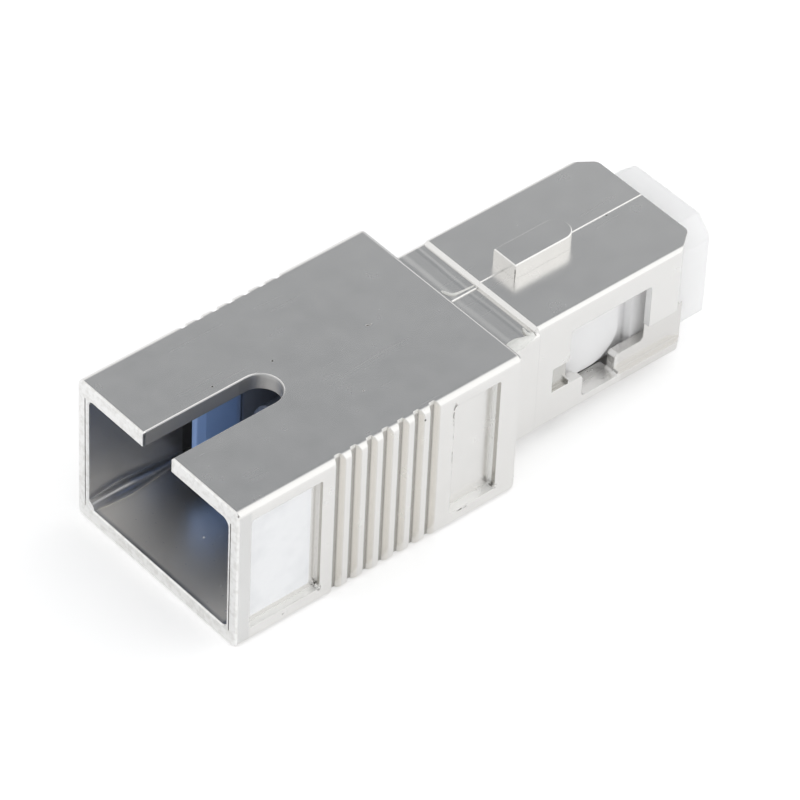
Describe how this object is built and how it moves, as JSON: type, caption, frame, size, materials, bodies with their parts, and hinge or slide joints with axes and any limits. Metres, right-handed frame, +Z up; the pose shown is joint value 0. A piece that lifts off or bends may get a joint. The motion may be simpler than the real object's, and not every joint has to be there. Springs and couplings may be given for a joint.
{
  "type": "push-pull fibre attenuator",
  "caption": "Small plated metal fibre attenuator: a square push-pull socket with a key slot and grip grooves at one end, a keyed plug with a white nose at the other.",
  "frame": {"origin": "on the resting plane under the middle of the whole part", "axes": "+X along the optical axis from the socket mouth to the plug tip, +Y across to the side without a label, +Z up, out of the keyed side"},
  "size_m": [0.0354, 0.0128, 0.0093],
  "materials": {
    "plated_casting": "satin nickel plate on die-cast zinc",
    "blue_plastic": "moulded, satin",
    "white_plastic": "moulded, satin",
    "zirconia": "ground and polished",
    "steel": "turned",
    "fibre_glass": "polished",
    "label_paper": "blank, matt"
  },
  "bodies": {
    "case": {"housing": "plated_casting", "label": "label_paper", "latch_insert": "blue_plastic", "sleeve_retainer": "blue_plastic", "alignment_sleeve": "zirconia", "plug_shell_near": "plated_casting", "plug_shell_far": "plated_casting", "locating_pin_top": "steel", "locating_pin_bottom": "steel"},
    "frame": {"plug_frame": "white_plastic", "spring_stop": "steel", "ferrule_spring": "steel"},
    "ferrule_core": {"ferrule": "zirconia", "ferrule_flange": "steel", "attenuating_fibre": "fibre_glass"}
  },
  "joints": [
    {"name": "frame_slide", "type": "slide", "parent": "case", "child": "frame", "axis": [1, 0, 0], "range_m": [0, 0.0012]},
    {"name": "ferrule_slide", "type": "slide", "parent": "frame", "child": "ferrule_core", "axis": [-1, 0, 0], "range_m": [0, 0.0009], "stiffness_N_per_m": 1500, "deforming": ["ferrule_spring"]}
  ]
}
